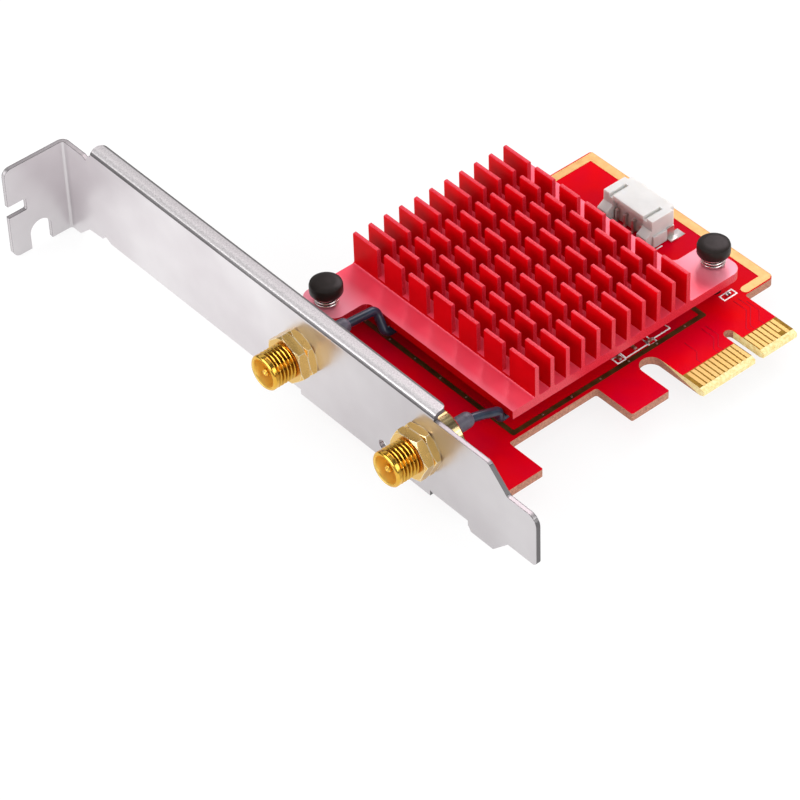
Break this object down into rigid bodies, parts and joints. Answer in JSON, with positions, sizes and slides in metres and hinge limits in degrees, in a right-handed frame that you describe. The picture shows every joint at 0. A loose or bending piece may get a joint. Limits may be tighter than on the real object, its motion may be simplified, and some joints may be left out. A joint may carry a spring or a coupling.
{
  "type": "expansion card, wireless network",
  "caption": "Plug-in card with a finned heat sink, two threaded antenna jacks and a folded slot bracket.",
  "frame": {"origin": "centre of the key notch on the line of the gold card edge, on the component face of the board", "axes": "+X out of the gold card edge, +Y from the slot bracket to the far end of the board, +Z out of the component face"},
  "size_m": [0.12, 0.0874, 0.0215],
  "materials": {
    "red_board": "glossy red solder mask over glass-fibre board",
    "red_anodised": "red anodised aluminium, satin",
    "gold_plate": "gold plated, bright",
    "bare_copper": "flat gold plating on copper",
    "plated_steel": "satin nickel plated sheet steel",
    "screw_steel": "nickel plated steel",
    "nut_brass": "pale gold plated brass",
    "insulator_white": "white moulded insulator",
    "black_cap": "black moulded nylon",
    "spring_steel": "bright spring wire",
    "shrink_grey": "dark grey shrunk sleeve",
    "cable_jacket": "blue-black cable jacket",
    "module_green": "dark solder mask",
    "shield_tin": "tinned steel can",
    "pad_soft": "soft grey-blue pad",
    "socket_black": "black moulded nylon",
    "header_white": "natural white nylon",
    "tinned": "tinned contacts",
    "lens_clear": "clear pale resin",
    "chip_brown": "fired ceramic",
    "chip_black": "glazed black ceramic"
  },
  "bodies": {
    "card": {"bracket": "plated_steel", "bracket_screws": "screw_steel", "chip_capacitors": "chip_brown", "chip_resistors": "chip_black", "coax_1": "cable_jacket", "coax_2": "cable_jacket", "coax_plug_1": "gold_plate", "coax_plug_2": "gold_plate", "contacts_back": "gold_plate", "contacts_front": "gold_plate", "copper_border": "bare_copper", "copper_ring": "bare_copper", "header_housing": "header_white", "header_pins": "tinned", "header_tabs": "tinned", "heat_shrink_1": "shrink_grey", "heat_shrink_2": "shrink_grey", "heat_sink": "red_anodised", "jack_back_nut_1": "nut_brass", "jack_back_nut_2": "nut_brass", "jack_body_1": "gold_plate", "jack_body_2": "gold_plate", "jack_front_nut_1": "nut_brass", "jack_front_nut_2": "nut_brass", "jack_insulator_1": "insulator_white", "jack_insulator_2": "insulator_white", "jack_pin_1": "gold_plate", "jack_pin_2": "gold_plate", "m2_screw": "screw_steel", "m2_socket": "socket_black", "m2_socket_leads": "tinned", "m2_standoff": "screw_steel", "module_board": "module_green", "module_jacks": "gold_plate", "module_shield": "shield_tin", "pcb": "red_board", "pin_spring_1": "spring_steel", "pin_spring_2": "spring_steel", "status_light": "lens_clear", "thermal_pad": "pad_soft"},
    "pin_1": {"push_pin_1": "black_cap"},
    "pin_2": {"push_pin_2": "black_cap"}
  },
  "joints": [
    {"name": "push_pin_1_press", "type": "slide", "parent": "card", "child": "pin_1", "axis": [0, 0, -1], "range_m": [0, 0.0007], "stiffness_N_per_m": 1500, "springref_m": -0.0004, "deforming": ["pin_spring_1"]},
    {"name": "push_pin_2_press", "type": "slide", "parent": "card", "child": "pin_2", "axis": [0, 0, -1], "range_m": [0, 0.0007], "stiffness_N_per_m": 1500, "springref_m": -0.0004, "deforming": ["pin_spring_2"]}
  ]
}
